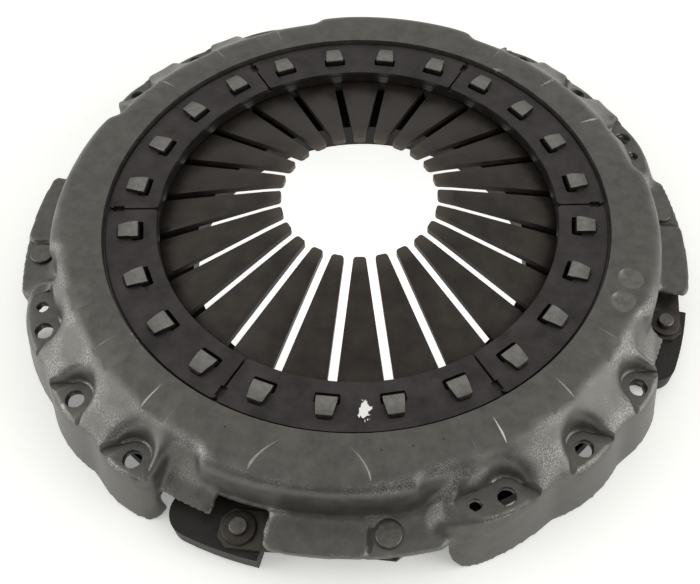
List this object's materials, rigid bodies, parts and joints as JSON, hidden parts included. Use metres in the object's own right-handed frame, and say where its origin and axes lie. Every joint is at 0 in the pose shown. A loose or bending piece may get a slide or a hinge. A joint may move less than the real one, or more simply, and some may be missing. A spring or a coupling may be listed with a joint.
{
  "type": "clutch pressure plate",
  "caption": "Truck clutch cover assembly: pressed steel cover with a fingered diaphragm spring that presses a cast plate, guided by leaf straps, onto a friction disc.",
  "frame": {"origin": "on the clutch axis, in the plane of the lower edges of the cover's skirts", "axes": "+Z along the clutch axis from the friction face towards the finger tips; the front strap pocket lies about -Y"},
  "size_m": [0.4798, 0.4798, 0.0773],
  "materials": {
    "cover_steel": "dark grey phosphated pressed steel, worn lighter on the ridges",
    "spring_steel": "brown-black blued spring steel",
    "segment_steel": "brown-black oiled spring steel",
    "hook_steel": "bare grey formed steel",
    "ring_wire": "drawn steel wire",
    "strap_steel": "oiled spring-steel leaf",
    "rivet_steel": "bare steel rivet",
    "washer_steel": "dark oiled washer",
    "plate_iron": "dark brown-grey cast iron"
  },
  "bodies": {
    "cover_assembly": {"cover": "cover_steel", "diaphragm_spring": "spring_steel", "upper_fulcrum_ring": "ring_wire", "lower_fulcrum_ring": "ring_wire", "preload_segment_1": "segment_steel", "preload_segment_2": "segment_steel", "preload_segment_3": "segment_steel", "preload_segment_4": "segment_steel", "preload_segment_5": "segment_steel", "preload_segment_6": "segment_steel", "retaining_hooks_1": "hook_steel", "retaining_hooks_2": "hook_steel", "retaining_hooks_3": "hook_steel", "retaining_hooks_4": "hook_steel", "retaining_hooks_5": "hook_steel", "retaining_hooks_6": "hook_steel", "drive_straps_1": "strap_steel", "drive_straps_2": "strap_steel", "drive_straps_3": "strap_steel", "drive_straps_4": "strap_steel", "cover_rivets": "rivet_steel"},
    "pressure_plate": {"pressure_plate": "plate_iron", "lug_washers": "washer_steel", "lug_rivets": "rivet_steel"}
  },
  "joints": [
    {"name": "pressure_plate_slide", "type": "slide", "parent": "cover_assembly", "child": "pressure_plate", "axis": [0, 0, 1], "range_m": [0, 0.007], "stiffness_N_per_m": 40000, "springref_m": -0.004, "deforming": ["diaphragm_spring", "drive_straps_1", "drive_straps_2", "drive_straps_3", "drive_straps_4"]}
  ]
}
